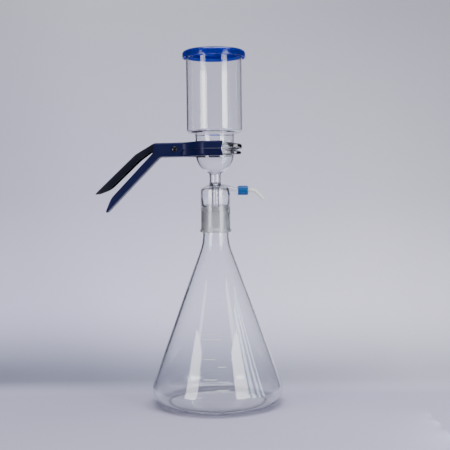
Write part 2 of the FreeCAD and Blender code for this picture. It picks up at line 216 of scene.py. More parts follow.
def shade_smooth(piece, sharp):
    """Smooth shading, with edges beyond an angle in degrees kept sharp."""
    piece.data.polygons.foreach_set("use_smooth", np.ones(len(piece.data.polygons), bool))
    piece.data.set_sharp_from_angle(angle=np.radians(sharp))


def tidy_mesh(made, sharp, closed):
    """Joins doubled points, drops empty faces, turns normals outwards, smooths the shading."""
    bpy.context.view_layer.objects.active = made
    bpy.ops.object.select_all(action="DESELECT")
    made.select_set(True)
    bpy.ops.object.mode_set(mode="EDIT")
    bpy.ops.mesh.select_all(action="SELECT")
    bpy.ops.mesh.remove_doubles(threshold=1e-6)
    bpy.ops.mesh.dissolve_degenerate(threshold=1e-6)
    bpy.ops.mesh.select_all(action="SELECT")
    if closed:
        bpy.ops.mesh.normals_make_consistent(inside=False)
    bpy.ops.object.mode_set(mode="OBJECT")
    shade_smooth(made, sharp)


def circle(segments):
    """Angles round one turn, as a row."""
    return np.linspace(0, TAU, segments, endpoint=False)[None]


def about_z(outline, turn):
    """Outline (radius, height) turned about Z: x = r cos t, y = r sin t, z = height."""
    radius, height = outline[:, :1], outline[:, 1:]
    return np.stack([radius * np.cos(turn), radius * np.sin(turn), height + 0 * turn], -1)


def about_x(along, radius, turn):
    """Rows (x, radius) turned about the side arm's line: y = r cos t, z = line + r sin t."""
    return np.stack([along + 0 * turn, radius * np.cos(turn), ARM_Z + radius * np.sin(turn)], -1)


def about_y(along, radius, turn):
    """Rows (y, radius) turned about the pivot line: x = line + r cos t, z = line + r sin t."""
    return np.stack([PIVOT_X + radius * np.cos(turn), along + 0 * turn,
                     PIVOT_Z + radius * np.sin(turn)], -1)


def turned(name, outline, closed, segments=160):
    """Piece turned about Z from an outline of (radius, height)."""
    return grid_object(name, about_z(outline, circle(segments)), wrap_rows=closed)


def tangents(path):
    """Unit vectors along a path, by central differences."""
    step = np.gradient(path, axis=0)
    return step / np.linalg.norm(step, axis=1, keepdims=True)


def rings(tangent, side, segments):
    """Unit circles square to each tangent: side cos t + (tangent x side) sin t."""
    turn = np.linspace(0, TAU, segments, endpoint=False)[None, :, None]
    return side[:, None] * np.cos(turn) + np.cross(tangent, side)[:, None] * np.sin(turn)


def swept_wire(name, path, radius, segments):
    """Round wire carried along a path, in planes square to the path, with flat ends.

    The side direction is carried from row to row by removing its part along the new tangent.
    """
    tangent = tangents(path)
    side = np.empty_like(path)
    side[0] = np.cross(tangent[0], [0.31, 0.9, 0.3])
    side[0] /= np.linalg.norm(side[0])
    for i in range(1, len(path)):
        side[i] = side[i - 1] - tangent[i] * (side[i - 1] @ tangent[i])
        side[i] /= np.linalg.norm(side[i])
    points = path[:, None] + rings(tangent, side, segments) * radius
    ends = path[[0, -1], None].repeat(segments, 1)
    return grid_object(name, np.concatenate([ends[:1], points, ends[1:]]))


def thicken(piece, amount):
    """Modifier that gives a sheet its thickness, in millimetres, inwards from the surface."""
    thick = piece.modifiers.new("thickness", "SOLIDIFY")
    thick.thickness = amount * MM
    thick.offset = -1
    return thick


def cut_away(piece, cutter, operation="DIFFERENCE"):
    """Exact boolean between two new pieces, applied to the first; the second is removed."""
    bpy.context.view_layer.objects.active = piece
    change = piece.modifiers.new("cut", "BOOLEAN")
    change.operation = operation
    change.solver = "EXACT"
    change.object = cutter
    bpy.ops.object.modifier_apply(modifier=change.name)
    bpy.data.objects.remove(cutter, do_unlink=True)
    shade_smooth(piece, 35)


# ---- Glass shapes ----

def cone_at(height):
    """Radius of the ground cone at a height."""
    return CONE_RADIUS - (height - NECK_Z) * CONE_SLOPE


def flask_side(inset):
    """Corners of the flask's side, moved inwards by an inset: heel corner and neck corner.

    The cone is the line r cos a + z sin a = C; C follows from the heel circle that it touches.
    """
    distance = (BODY_RADIUS - HEEL) * np.cos(CONE_ANGLE) + HEEL * np.sin(CONE_ANGLE) + HEEL - inset
    heel_radius = (distance - inset * np.sin(CONE_ANGLE)) / np.cos(CONE_ANGLE)
    neck_radius = CONE_RADIUS - inset
    neck_height = (distance - neck_radius * np.cos(CONE_ANGLE)) / np.sin(CONE_ANGLE)
    return (heel_radius, inset, HEEL - inset), (neck_radius, neck_height, FLARE + inset)


def flask_surface():
    """Flask wall as one closed skin: outside up from the centre, over the rim, down the inside."""
    heel, neck = flask_side(0)
    inner_heel, inner_neck = flask_side(WALL)
    top_radius = cone_at(JOINT_TOP)
    punt = 1.6
    outline = rounded([
        (0, punt, 0), (52, punt * 0.35, 60), (60, 0, 12), heel, neck,
        (CONE_RADIUS, NECK_Z, 0), (top_radius, JOINT_TOP + WALL / 2, 1.1),
        (top_radius - WALL, JOINT_TOP + WALL / 2, 1.1),
        (CONE_RADIUS - WALL, NECK_Z, 0), inner_neck, inner_heel,
        (60, WALL, 12), (52, WALL + punt * 0.35, 60), (0, WALL + punt, 0),
    ], step=3.0)
    return turned("receiver_flask_glass", outline, closed=False, segments=224)


def head_outline():
    """Closed section of the filter head: flange, bowl, stem, shoulder, socket, drip tube."""
    bowl = (0.0, FLANGE_UNDER)
    socket_mouth = cone_at(MOUTH_Z) + 0.05
    socket_top = cone_at(JOINT_TOP) + 0.05
    tube_inner = TUBE_RADIUS - TUBE_WALL
    bowl_inner = BOWL_RADIUS - 2.0
    stem_inner = STEM_RADIUS - 2.0
    drip_inner = DRIP_RADIUS - DRIP_WALL
    frit_under = MATING_Z - FRIT_HEIGHT
    stem_join = FLANGE_UNDER - np.sqrt(BOWL_RADIUS ** 2 - STEM_RADIUS ** 2)
    corners = [
        (SEAL_FACE - 2, MATING_Z, 0), (SEAL_FACE, MATING_Z, 0.8),
        (LOWER_FLANGE, FLANGE_UNDER + 3.9, 1.5), (LOWER_FLANGE, FLANGE_UNDER, 1.7),
        (BOWL_RADIUS + 0.2, FLANGE_UNDER, 1.6),
    ]
    corners += flat_rows(arc(bowl, BOWL_RADIUS, -9, -64))
    corners += [
        (STEM_RADIUS, stem_join - 0.6, 2.2), (STEM_RADIUS, SHOULDER_TOP, 2.2),
        (TUBE_RADIUS - 6, SHOULDER_TOP - 0.9, 14.0), (TUBE_RADIUS, SHOULDER_TOP - 4.2, 5.0),
        (TUBE_RADIUS, MOUTH_Z + 5.4, 0.9), (TUBE_RADIUS + BEAD, MOUTH_Z + 3.4, 1.5),
        (TUBE_RADIUS + BEAD, MOUTH_Z, 1.7),
        (socket_mouth, MOUTH_Z, 0.7), (socket_top, JOINT_TOP, 0.5),
        (tube_inner, JOINT_TOP + 11, 8.0), (tube_inner, SHOULDER_TOP - 5.8, 4.0),
        (tube_inner - 5, SHOULDER_TOP - 3.1, 10.0), (DRIP_RADIUS, SHOULDER_TOP - 2.0, 1.6),
        (DRIP_RADIUS, SHOULDER_TOP - DRIP_LENGTH, 0.6),
        (drip_inner, SHOULDER_TOP - DRIP_LENGTH, 0.6), (drip_inner, SHOULDER_TOP, 3.0),
        (stem_inner, SHOULDER_TOP + 3.5, 3.0), (stem_inner, FLANGE_UNDER - bowl_inner + 0.5, 2.0),
    ]
    corners += flat_rows(arc(bowl, bowl_inner, -66, -4))
    corners += [
        (bowl_inner, FLANGE_UNDER + 0.1, 0.6), (FRIT_RADIUS - 1.5, frit_under - 1.0, 0.4),
        (FRIT_RADIUS - 1.5, frit_under, 0), (FRIT_RADIUS + 0.05, frit_under, 0),
        (FRIT_RADIUS + 0.05, MATING_Z, 0), (SEAL_FACE - 2, MATING_Z, 0),
    ]
    return rounded(corners)[:-1]


def arm_radius_at(x):
    """Outer radius of the side arm: plain, swelling towards its root as a softened line."""
    return ARM_RADIUS + 0.35 * np.logaddexp(0, (26.0 - x) / 1.4)


def arm_bore_at(x):
    """Bore of the side arm, which opens out with the root."""
    return np.maximum(arm_radius_at(x) - 1.5, ARM_BORE)


def side_arm():
    """Side arm with a screw thread near its end, turned about its own line.

    Radius over the thread: plain radius plus a ridge that runs round once per pitch.
    """
    pitch, ridge, root, end = 3.0, 0.5, 9.5, SEAL_START
    along = np.concatenate([np.linspace(root, CAP_START, 24),
                            np.linspace(CAP_START, end, 70)[1:]])
    x, t = along[:, None], circle(96)
    phase = ((x - CAP_START) / pitch - t / TAU) % 1.0
    crest = np.clip(1 - np.abs(phase - 0.5) / 0.28, 0, 1) ** 0.7
    fade = np.clip((x - CAP_START - 0.6) / 1.5, 0, 1) * np.clip((end - 0.6 - x) / 0.8, 0, 1)
    radius = arm_radius_at(x) + ridge * crest * fade
    back = np.concatenate([[end, end], np.linspace(28, root, 20)])[:, None]
    inner = arm_bore_at(back)
    inner[0] = ARM_RADIUS - 0.5
    points = np.concatenate([about_x(x, radius, t), about_x(back, inner, t)])
    return grid_object("side_arm_glass", points, wrap_rows=True)


def filter_head_surface():
    """Turned head joined to its side arm, with the bore through the tube wall."""
    head = turned("filter_head_glass", head_outline(), closed=True, segments=160)
    cut_away(head, side_arm(), "UNION")
    tube_inner = TUBE_RADIUS - TUBE_WALL - 0.02
    cavity = rounded([
        (tube_inner, JOINT_TOP + 12.5, 0), (tube_inner, SHOULDER_TOP - 5.8, 4.0),
        (tube_inner - 5, SHOULDER_TOP - 3.12, 10.0), (DRIP_RADIUS + 2.0, SHOULDER_TOP - 2.4, 0),
        (DRIP_RADIUS + 0.02, SHOULDER_TOP - 3.8, 0), (DRIP_RADIUS + 0.02, JOINT_TOP + 12.5, 0),
        (tube_inner, JOINT_TOP + 12.5, 0),
    ])[:-1]
    cut_away(head, turned("tube_cavity", cavity, closed=True, segments=160))
    along = np.linspace(10.5, TUBE_RADIUS + 4, 20)[:, None]
    bore = np.concatenate([[[0]], arm_bore_at(along) - 0.02, [[0]]])
    along = np.concatenate([along[:1], along, along[-1:]])
    cut_away(head, grid_object("bore", about_x(along, bore, circle(96))))
    return head


def funnel_surface():
    """Closed section of the funnel: flange, neck, shoulder, cylinder and fire-polished rim."""
    neck_inner = NECK_RADIUS - 2.0
    inner = FUNNEL_RADIUS - 2.0
    outline = rounded([
        (SEAL_FACE - 2, FUNNEL_BASE, 0), (SEAL_FACE, FUNNEL_BASE, 0.8),
        (UPPER_FLANGE, FLANGE_TOP - 6.0, 1.9), (UPPER_FLANGE, FLANGE_TOP, 2.7),
        (NECK_RADIUS, FLANGE_TOP, 1.8), (NECK_RADIUS, NECK_TOP - 0.6, 2.4),
        (FUNNEL_RADIUS, NECK_TOP + 1.0, 5.6), (FUNNEL_RADIUS, RIM_Z, 0.95),
        (inner, RIM_Z, 0.95), (inner, NECK_TOP + 3.0, 3.8), (neck_inner, NECK_TOP + 1.4, 3.4),
        (neck_inner, FLANGE_TOP + 1.0, 3.0), (FRIT_RADIUS - 0.2, FUNNEL_BASE + 1.0, 1.0),
        (FRIT_RADIUS - 0.2, FUNNEL_BASE, 0), (SEAL_FACE - 2, FUNNEL_BASE, 0),
    ], step=4.0)[:-1]
    return turned("funnel_glass", outline, closed=True, segments=192)


def lid_surface():
    """Lid: slightly domed top with a rolled edge, hanging skirt and a short inner spigot."""
    top = high("funnel_lid")[2]
    skirt = low("funnel_lid")[2]
    edge = top - 1.0
    spigot = FUNNEL_RADIUS - 2.5
    outline = rounded([
        (0, top, 0), (LID_RADIUS * 0.5, top - 0.25, 80), (LID_RADIUS, edge, 4.4),
        (LID_RADIUS, skirt, 0.7), (LID_RADIUS - 1.6, skirt, 0.5),
        (LID_RADIUS - 1.7, RIM_Z + 0.8, 2.6), (spigot, RIM_Z + 0.4, 0.5),
        (spigot, RIM_Z - 4.5, 0.6), (spigot - 1.6, RIM_Z - 4.5, 0.6),
        (spigot - 1.7, RIM_Z + 0.2, 0.6), (0, RIM_Z + 0.6, 0),
    ])
    return turned("funnel_lid_moulding", outline, closed=False, segments=192)


def graduation_marks():
    """Enamel lines on the front of the flask: short bands that follow the cone, 0.12 mm proud."""
    heel, neck = flask_side(-0.12)
    slope = (heel[0] - neck[0]) / (neck[1] - heel[1])
    marks = [(98.5, -0.36, 0.10), (92.5, -0.36, 0.10), (69.5, -0.24, -0.02),
             (60.5, 0.02, 0.16), (46.0, -0.22, 0.0), (34.0, 0.0, 0.18)]
    parts = []
    columns = 14
    for height, start, end in marks:
        z = np.array([[height - 0.45], [height + 0.45]])
        turn = np.linspace(start, end, columns)[None] - np.pi / 2
        parts.append(about_z(np.hstack([heel[0] - (z - heel[1]) * slope, z]), turn))
    first = 2 * columns * np.arange(len(marks))[:, None, None]
    quads = (grid_quads(2, columns) + first).reshape(-1, 4)
    made = mesh_object("graduation_enamel", np.concatenate(parts).reshape(-1, 3), quads)
    thicken(made, 0.08)
    return made


# ---- Side arm connector ----

def cap_surface():
    """Fluted screw cap, closed skin: radius = plain radius less a scallop that repeats round it."""
    outline = rounded([
        (CAP_START, 5.15, 0), (CAP_START, 6.15, 0.35), (CAP_END - 1.2, 6.15, 0.3),
        (CAP_END, 5.3, 0.5), (CAP_END, 2.65, 0.15), (CAP_END - 1.0, 2.65, 0.1),
        (CAP_END - 1.0, 5.15, 0.2), (CAP_START, 5.15, 0),
    ], step=15)[:-1]
    dense = [outline[0]]
    for here, after in zip(outline, outline[1:]):
        pieces = max(int(np.linalg.norm(after - here) / 0.8), 1)
        dense += [here + (after - here) * k / pieces for k in range(1, pieces + 1)]
    outline = np.array(dense)
    turn = circle(240)
    along, radius = outline[:, :1], outline[:, 1:]
    scallop = 0.42 * np.clip(np.cos(turn * 20), 0, 1) ** 0.8
    outside = (radius > 5.6) * np.clip((along - CAP_START - 0.9) / 0.5, 0, 1) \
        * np.clip((CAP_END - 0.9 - along) / 0.5, 0, 1)
    radius = radius - scallop * outside
    return grid_object("connector_cap_moulding", about_x(along, radius, turn), wrap_rows=True,
                       sharp=50)


def barb_surface():
    """Hollow elbow: the radius follows the length along a bent path, with three hose ridges."""
    bend_x = CAP_END + 6.4
    slope = np.radians(45)
    run = np.stack([np.linspace(SEAL_END, bend_x, 26), np.full(26, ARM_Z)], 1)
    swing = np.radians(np.linspace(90, 45, 12))[1:]
    bend = np.stack([bend_x + 5 * np.cos(swing), ARM_Z - 5 + 5 * np.sin(swing)], 1)
    reach = np.linspace(0, 15.2, 77)[1:, None]
    leg = bend[-1] + reach * np.array([np.cos(slope), -np.sin(slope)])
    line = np.concatenate([run, bend, leg])
    travel = lengths_along(line)
    left = travel[-1] - travel
    radius = np.interp(left, [0, 0.35, 5, 15.2], [1.5, 1.8, 1.8, 2.25])
    ridge = np.where((left > 5.4) & (left < 12.6), ((left - 5.4) % 2.4) / 2.4, 0)
    radius = radius + 0.38 * ridge * (ridge < 0.96)
    radius = np.where(travel < 1.3, 4.85, radius)
    path = np.stack([line[:, 0], np.zeros(len(line)), line[:, 1]], 1)
    ring = rings(tangents(path), np.tile([0.0, 1.0, 0.0], (len(path), 1)), 48)
    outer = path[:, None] + ring * radius[:, None, None]
    inner = (path[:, None] + ring * 1.3)[::-1]
    return grid_object("hose_barb_moulding", np.concatenate([outer, inner]), wrap_rows=True)


# ---- Clamp ----

def resampled(path, count):
    """Points spread evenly along a polyline, without its first one."""
    travel = lengths_along(path)
    at = np.linspace(0, travel[-1], count + 1)[1:]
    return np.stack([np.interp(at, travel, path[:, k]) for k in (0, 1)], 1)


def folded_sheet(name, web, edge, half_width, inner_half, hole, bend=2.6):
    """Channel folded from sheet, as a mirrored pair of strips that meet on the web.

    Each row runs from the wall's free edge up the wall, round a quarter bend whose depth is
    R(1 - sin a) and whose inset is R(1 - cos a), then across the web to its inner boundary.
    """
    along = tangents(web)
    inward = np.stack([-along[:, 1], along[:, 0]], 1)
    if ((edge - web) * inward).sum() < 0:
        inward = -inward
    depth = np.linalg.norm(edge - web, axis=1)
    bend = np.minimum(bend, depth * 0.92)[:, None]
    root = web + inward * bend
    columns = []
    for share in np.linspace(1, 0, 9):
        columns.append((root + (edge - root) * share, half_width))
    for angle in np.radians([12, 26, 40, 54, 68, 80, 90]):
        columns.append((web + inward * bend * (1 - np.sin(angle)),
                        half_width - bend[:, 0] * (1 - np.cos(angle))))
    for share in (0.2, 0.45, 0.7, 0.9, 1.0):
        flat = half_width - bend[:, 0]
        columns.append((web, flat + (np.minimum(inner_half, flat) - flat) * share))
    half = np.stack([np.stack([at[:, 0], side, at[:, 1]], 1) for at, side in columns], 1)
    rows, across = half.shape[:2]
    quads = grid_quads(rows, across)
    points = np.concatenate([half.reshape(-1, 3), half.reshape(-1, 3) * [1, -1, 1]])
    middle = quads[(rows // 2) * (across - 1)]
    normal = np.cross(points[middle[1]] - points[middle[0]], points[middle[3]] - points[middle[0]])
    if normal[1] < 0:
        quads = quads[:, ::-1]
    both = np.concatenate([quads, quads[:, ::-1] + rows * across])
    made = mesh_object(name, points, both, sharp=35, closed=False)
    bpy.context.view_layer.objects.active = made
    thick = thicken(made, SHEET)
    thick.use_even_offset = True
    bpy.ops.object.modifier_apply(modifier=thick.name)
    reach = np.array([-60.0, -60.0, 60.0, 60.0])[:, None]
    size = np.array([0.0, hole, hole, 0.0])[:, None]
    cut_away(made, grid_object("pin_hole", about_y(reach, size, circle(40))))
    soft = made.modifiers.new("broken edges", "BEVEL")
    soft.width = 0.22 * MM
    soft.segments = 2
    soft.limit_method = "ANGLE"
    soft.angle_limit = np.radians(50)
    return made


def clamp_plan(x, rear, jaw):
    """Half width of the arm over x: narrow behind, an ease-in-ease-out flare, wide at the jaws."""
    share = np.clip((x + 41.0) / 28.0, 0, 1)
    share = share + 0.75 * (share * share * (3 - 2 * share) - share)
    return rear + (jaw - rear) * share


def notch_half(x):
    """Half width of the jaw opening over x: a half circle about the axis, then straight."""
    round_part = np.sqrt(np.clip(NOTCH_RADIUS ** 2 - x ** 2, 0, None))
    return np.where(x > 0, NOTCH_RADIUS, np.where(x < -NOTCH_RADIUS, 0.0, round_part))


def heading(degrees):
    """Unit vector in the X-Z plane."""
    return np.array([np.cos(np.radians(degrees)), np.sin(np.radians(degrees))])


def handle_runs(start, angles, lengths, depth, inward):
    """Outside line of a bent handle and its free edge, as matched polylines, with a round tip."""
    web = [np.array(start) + [8.0, 0.0], np.array(start)]
    for angle, length in zip(angles, lengths):
        web.append(web[-1] + heading(180 + angle) * length)
    headings = [180.0] + [180 + angle for angle in angles]
    normals = [inward * np.array([heading(h)[1], -heading(h)[0]]) for h in headings]
    edge = [web[0] + normals[0] * depth]
    for here, before, after in zip(web[1:-1], normals, normals[1:]):
        middle = before + after
        edge.append(here + middle * depth / (1 + before @ after))
    edge.append(web[-1] + normals[-1] * depth)
    return web, edge, normals


def upper_arm_lines(top, bottom):
    """Top arm: flat web over the flange, walls down to the parting line, long bent handle."""
    meet = (top + bottom) / 2 + 0.06
    sag = np.tan(JAW_RISE)
    start = (-77.5, top)
    web, edge, normals = handle_runs(start, (30.0, 42.7), (28.4, UPPER_HANDLE),
                                     HANDLE_DEPTH, -1)
    line = rounded([(JAW_TIP, top, 0), (*web[1], 9.0), (*web[2], 16.0), (*web[3], 0)], step=3)
    free = rounded([
        (FREE_TIP, meet - (FREE_TIP - PIVOT_X) * sag, 0), (-41, meet - (-41 - PIVOT_X) * sag, 2.0),
        (-46, bottom, 2.5), (-75.5, bottom, 3.5),
        (-78.3, edge[1][1] + 0.4, 5.0), (*edge[2], 10.0),
        tuple(edge[3] + (edge[2] - edge[3]) * (TIP_TAPER / UPPER_HANDLE)) + (26.0,),
        tuple(web[3] + normals[-1] * 1.9) + (0,),
    ], step=5)
    return match_lines(line, free, [
        (JAW_TIP, FREE_TIP), (-24, -24), (-41, -41), (-46, -46), (-68, -68), (-79.5, -78.5),
        (web[2][0], edge[2][0] + 1.5), (web[3][0], free[-1][0])])


def lower_arm_lines(top, bottom):
    """Bottom arm: flat web under the flange, walls up to the parting line, slanting handle."""
    meet = (top + bottom) / 2 - 0.06
    lug = PIVOT_Z + PIN_RADIUS + 2.0
    start = (-70.4, bottom)
    web, edge, normals = handle_runs(start, (45.8,), (LOWER_HANDLE,), HANDLE_DEPTH, 1)
    line = rounded([(JAW_TIP, bottom, 0), (*web[1], 9.0), (*web[2], 0)], step=3)
    free = rounded([
        (FREE_TIP, meet, 0), (-41, meet, 1.6), (-43, lug, 1.6), (-61.8, lug, 6.0),
        (edge[1][0] - 1.0, edge[1][1] + 0.5, 9.0),
        tuple(edge[2] + (edge[1] - edge[2]) * (TIP_TAPER / LOWER_HANDLE)) + (26.0,),
        tuple(web[2] + normals[-1] * 1.9) + (0,),
    ], step=5)
    return match_lines(line, free, [
        (JAW_TIP, FREE_TIP), (-24, -24), (-41, -41), (-43.4, -43.2), (-60, -59), (-71.5, -74.0),
        (web[2][0], free[-1][0])])


def match_lines(line, free, stops):
    """Web line and free edge resampled so that each pair of stops in x lines up."""
    rows_line, rows_free = [line[:1]], [free[:1]]
    for (a, c), (b, d) in zip(stops, stops[1:]):
        span = abs(b - a)
        count = max(int(span / (1.6 if a > -82 else 2.6)), 3)
        for store, poly, first, last in ((rows_line, line, a, b), (rows_free, free, c, d)):
            order = np.argsort(-poly[:, 0], kind="stable")
            x, z = poly[order, 0], poly[order, 1]
            inside = x[(x < first) & (x > last)]
            near = np.concatenate([[first], inside, [last]])
            piece = np.stack([near, np.interp(-near, -x, z)], 1)
            store.append(resampled(piece, count))
    return np.concatenate(rows_line), np.concatenate(rows_free)


def tilted(points, angle):
    """Points in the X-Z plane turned about the pin, front end up."""
    away = points - [PIVOT_X, PIVOT_Z]
    c, s = np.cos(angle), np.sin(angle)
    return np.stack([PIVOT_X + away[:, 0] * c - away[:, 1] * s,
                     PIVOT_Z + away[:, 0] * s + away[:, 1] * c], 1)


def tip_width(web, width, round_off=7.0):
    """Takes the plan corners off a handle's end: inset follows a quarter circle."""
    left = np.linalg.norm(web - web[-1], axis=1)
    share = np.clip(1 - left / round_off, 0, 1)
    return width - 3.5 * (1 - np.sqrt(1 - (share * 0.98) ** 2))


def clamp_arms():
    """Both arms of the clamp, the top one turned up a little by the flanges between the jaws."""
    bottom = MATING_Z - 7.8
    top = bottom + 17.8
    arms = []
    for name, lines, rise, rear, jaw in (
            ("clamp_upper_pressing", upper_arm_lines(top, bottom), JAW_RISE, 16.0, 39.3),
            ("clamp_lower_pressing", lower_arm_lines(top, bottom), 0.0, 14.2, 37.5)):
        web, edge = lines
        width = tip_width(web, clamp_plan(web[:, 0], rear, jaw))
        arms.append(folded_sheet(name, tilted(web, rise), tilted(edge, rise), width,
                                 notch_half(web[:, 0]), PIN_RADIUS + 0.05))
    return arms


def pin_surface():
    """Domed pin head, shank and blunt end, turned about the pivot line."""
    head, end = low("pivot_pin")[1], high("pivot_pin")[1]
    outline = rounded([
        (head, 0, 0), (head + 0.02, 1.2, 1.0), (head + 0.5, 2.9, 1.4), (head + 1.15, 3.6, 0.45),
        (head + 1.6, 3.6, 0.15), (head + 1.6, PIN_RADIUS, 0.1), (end - 0.6, PIN_RADIUS, 0.25),
        (end, 1.7, 0.2), (end, 0, 0),
    ], step=10)
    return grid_object("pivot_pin_turned", about_y(outline[:, :1], outline[:, 1:], circle(64)))


def retainer_surface():
    """Dished push-on ring whose inner edge is cut into six tongues: depth = ripple of six."""
    start, end = low("pin_retainer")[1], high("pin_retainer")[1]
    outline = rounded([
        (start, 4.4, 0.15), (end - 0.5, 4.4, 0.15), (end, 3.4, 0.2), (end, PIN_RADIUS, 0.05),
        (end - 0.5, PIN_RADIUS, 0.05), (start + 0.1, 3.9, 0.2), (start, 4.2, 0.1),
    ], step=12)
    turn = circle(96)
    along, radius = outline[:, :1], outline[:, 1:]
    radius = radius + 0.55 * np.clip(np.cos(6 * turn) * 4 - 2.6, 0, 1) * (radius < 3.0)
    return grid_object("pin_retainer_pressing", about_y(along, radius, turn), wrap_rows=True)


def spring_surface():
    """Torsion spring: round wire on a helix about the pin, with a straight leg at each end."""
    pitch, turns = 1.7, 5.5
    half = pitch * turns / 2
    turn = np.linspace(0, turns * TAU, int(turns * 40) + 1)
    angle = np.pi / 2 - turn
    helix = np.stack([PIVOT_X + COIL_RADIUS * np.cos(angle), -half + pitch * turn / TAU,
                      PIVOT_Z + COIL_RADIUS * np.sin(angle)], 1)
    reach = np.linspace(SPRING_LEG, 0.6, 12)[:, None]
    first = helix[0] + reach * [-1, 0, 0]
    last = helix[-1] + reach[::-1] * [-1, 0, 0]
    return swept_wire("torsion_spring_wire", np.concatenate([first, helix, last]), WIRE_RADIUS, 20)


# ---- Materials ----

def new_group(name, numbers, outputs):
    """Empty shader group: coordinates and named numbers in, named numbers out."""
    group = bpy.data.node_groups.new(name, "ShaderNodeTree")
    group.interface.new_socket("Vector", in_out="INPUT", socket_type="NodeSocketVector")
    for label, value in numbers.items():
        group.interface.new_socket(label, in_out="INPUT",
                                   socket_type="NodeSocketFloat").default_value = value
    for label in outputs:
        group.interface.new_socket(label, in_out="OUTPUT", socket_type="NodeSocketFloat")
    into = group.nodes.new("NodeGroupInput").outputs
    return group, into, group.nodes.new("NodeGroupOutput")


def feed(tree, socket, value):
    """Links another node's output to a socket, or sets the socket to a plain value."""
    if isinstance(value, bpy.types.NodeSocket):
        tree.links.new(value, socket)
    else:
        socket.default_value = value


def feed_all(tree, node, **values):
    """Feeds input sockets by name, spaces written as underscores."""
    for label, value in values.items():
        feed(tree, node.inputs[label.replace("_", " ")], value)


def add(tree, kind, **values):
    """New node; small-letter keywords are its properties, the others its input sockets."""
    node = tree.nodes.new(kind)
    for key, value in values.items():
        if key[0].islower():
            setattr(node, key, value)
        else:
            feed_all(tree, node, **{key: value})
    return node


def noise(tree, vector, scale, detail=3.0, rough=0.55):
    """Noise value over the given coordinates."""
    return add(tree, "ShaderNodeTexNoise", Vector=vector, Scale=scale, Detail=detail,
               Roughness=rough).outputs["Fac"]


def ramp(tree, value, low_in, high_in, low_out, high_out, curve="LINEAR"):
    """Value moved from one range to another, clamped."""
    node = add(tree, "ShaderNodeMapRange", interpolation_type=curve)
    for index, number in enumerate((value, low_in, high_in, low_out, high_out)):
        feed(tree, node.inputs[index], number)
    return node.outputs[0]


def maths(tree, operation, first, second):
    """Arithmetic on sockets or numbers."""
    node = add(tree, "ShaderNodeMath", operation=operation)
    feed(tree, node.inputs[0], first)
    feed(tree, node.inputs[1], second)
    return node.outputs[0]


def squeezed(tree, vector, scales):
    """Coordinates multiplied by a different number along each axis."""
    node = add(tree, "ShaderNodeVectorMath", operation="MULTIPLY")
    feed(tree, node.inputs[0], vector)
    feed(tree, node.inputs[1], scales)
    return node.outputs[0]


def mix_colour(tree, factor, first, second):
    """Blend of two colours by a mask."""
    node = add(tree, "ShaderNodeMix", data_type="RGBA")
    for index, value in ((0, factor), (6, first), (7, second)):
        feed(tree, node.inputs[index], value)
    return node.outputs[2]


def handling_group():
    """Finger marks and a faint film: noise patches raise the roughness a little."""
    group, into, out = new_group("handling_marks", {
        "Patch Scale": 28.0, "Clean Roughness": 0.02, "Marked Roughness": 0.1},
        ["Roughness", "Mask"])
    where = into["Vector"]
    patch = noise(group, where, into["Patch Scale"], 4.0, 0.6)
    fine = ramp(group, noise(group, where, 900.0, 2.0), 0.35, 0.65, 0.5, 1.0)
    mask = maths(group, "MULTIPLY", ramp(group, patch, 0.5, 0.72, 0.0, 1.0), fine)
    rough = ramp(group, mask, 0.0, 1.0, into["Clean Roughness"],
                 into["Marked Roughness"])
    feed_all(group, out, Roughness=rough, Mask=mask)
    return group


def blown_group():
    """Slow thickness waves of worked glass, as a bump height in metres."""
    group, into, out = new_group("blown_waves", {"Depth": 0.00004}, ["Height"])
    waves = noise(group, squeezed(group, into["Vector"], (1.0, 1.0, 0.35)), 34.0, 1.5, 0.4)
    feed(group, out.inputs["Height"], maths(group, "MULTIPLY", waves, into["Depth"]))
    return group


def grain_group():
    """Fine even grain with a few scratches: height, mask of the grains, mask of scratches."""
    group, into, out = new_group("fine_grain", {"Grain Scale": 1500.0, "Scratch Scale": 90.0},
                                 ["Height", "Grain", "Scratches"])
    where = into["Vector"]
    grain = noise(group, where, into["Grain Scale"], 2.0, 0.6)
    lines = noise(group, squeezed(group, where, (0.12, 2.6, 1.4)), into["Scratch Scale"],
                  5.0, 0.7)
    scratch = ramp(group, lines, 0.66, 0.74, 0.0, 1.0)
    total = maths(group, "SUBTRACT", grain, maths(group, "MULTIPLY", scratch, 0.6))
    feed_all(group, out, Height=total, Grain=grain, Scratches=scratch)
    return group


def worn_edge_group():
    """Worn edges: how far a rounded normal leans off the true one, broken up by noise."""
    group, into, out = new_group("worn_edges", {"Width": 0.0006, "Amount": 0.7}, ["Mask"])
    round_off = add(group, "ShaderNodeBevel", samples=4, Radius=into["Width"])
    lean = add(group, "ShaderNodeVectorMath", operation="DOT_PRODUCT")
    feed(group, lean.inputs[0], round_off.outputs["Normal"])
    feed(group, lean.inputs[1], add(group, "ShaderNodeNewGeometry").outputs["Normal"])
    edge = ramp(group, lean.outputs["Value"], 0.985, 0.86, 0.0, 1.0)
    broken = ramp(group, noise(group, into["Vector"], 260.0, 4.0), 0.42, 0.62, 0.0, 1.0)
    mask = maths(group, "MULTIPLY", edge, broken)
    feed(group, out.inputs["Mask"], maths(group, "MULTIPLY", mask, into["Amount"]))
    return group


GROUPS = {"handling": handling_group(), "blown": blown_group(), "grain": grain_group(),
          "worn": worn_edge_group()}


def material(name):
    """New node material: tree, its main shader and object coordinates."""
    made = bpy.data.materials.new(name)
    made.use_nodes = True
    tree = made.node_tree
    shader = tree.nodes["Principled BSDF"]
    where = tree.nodes.new("ShaderNodeTexCoord").outputs["Object"]
    return made, tree, shader, where


def use(tree, key, where, **values):
    """Outputs of a shared group that reads the given coordinates."""
    return add(tree, "ShaderNodeGroup", node_tree=GROUPS[key], Vector=where, **values).outputs


